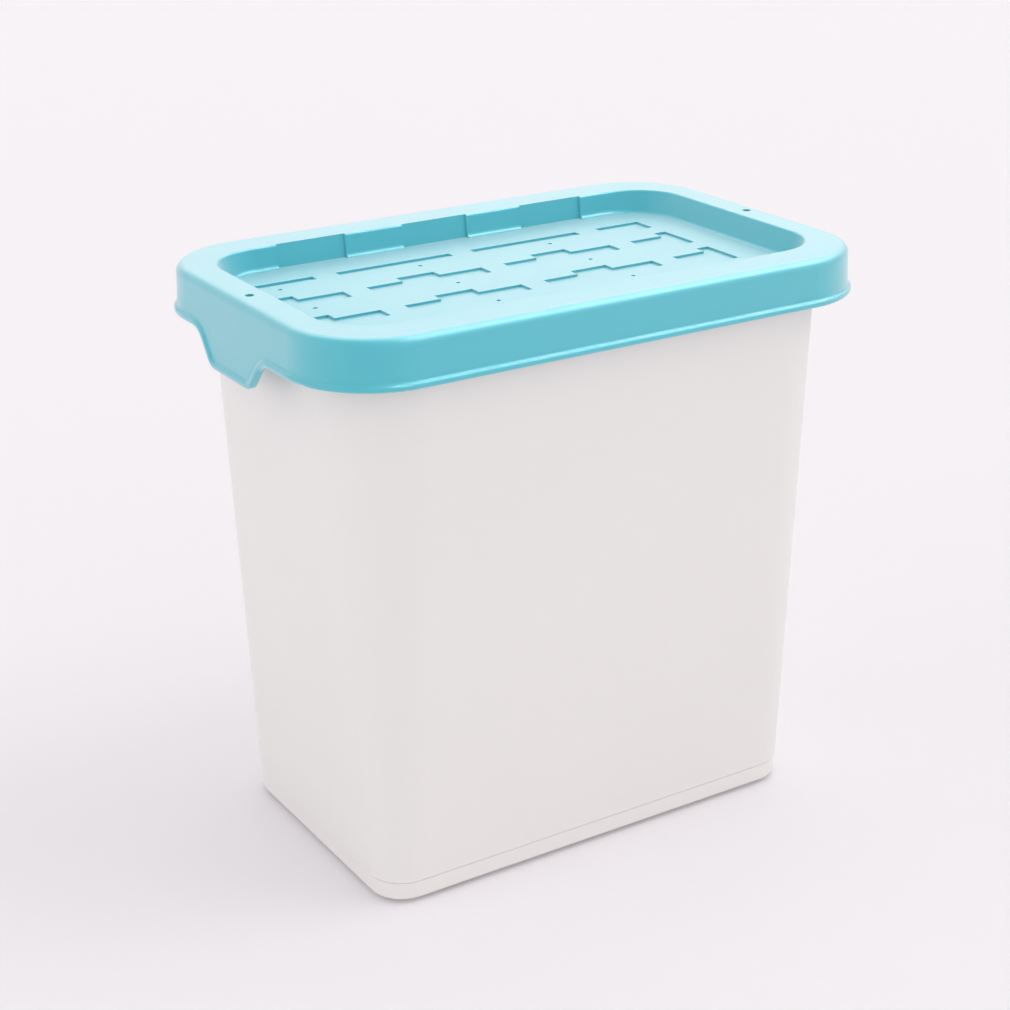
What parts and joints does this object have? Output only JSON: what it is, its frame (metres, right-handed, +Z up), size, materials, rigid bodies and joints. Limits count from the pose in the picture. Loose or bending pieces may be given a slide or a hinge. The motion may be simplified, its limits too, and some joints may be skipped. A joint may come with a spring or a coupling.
{
  "type": "plastic storage container",
  "caption": "Tall rectangular plastic storage container with rounded, tapering walls and an overhanging lid with a sunken patterned tray and a grip tab at each short end.",
  "frame": {"origin": "centre of the base, at the level that the foot stands on", "axes": "+X along the long side, +Y from the long front to the long back, +Z up"},
  "size_m": [0.317, 0.2036, 0.302],
  "materials": {
    "container": "white moulded polypropylene, satin",
    "lid": "aqua moulded polypropylene, slightly glossy"
  },
  "bodies": {
    "root": {"container": "container", "lid": "lid"}
  },
  "joints": []
}
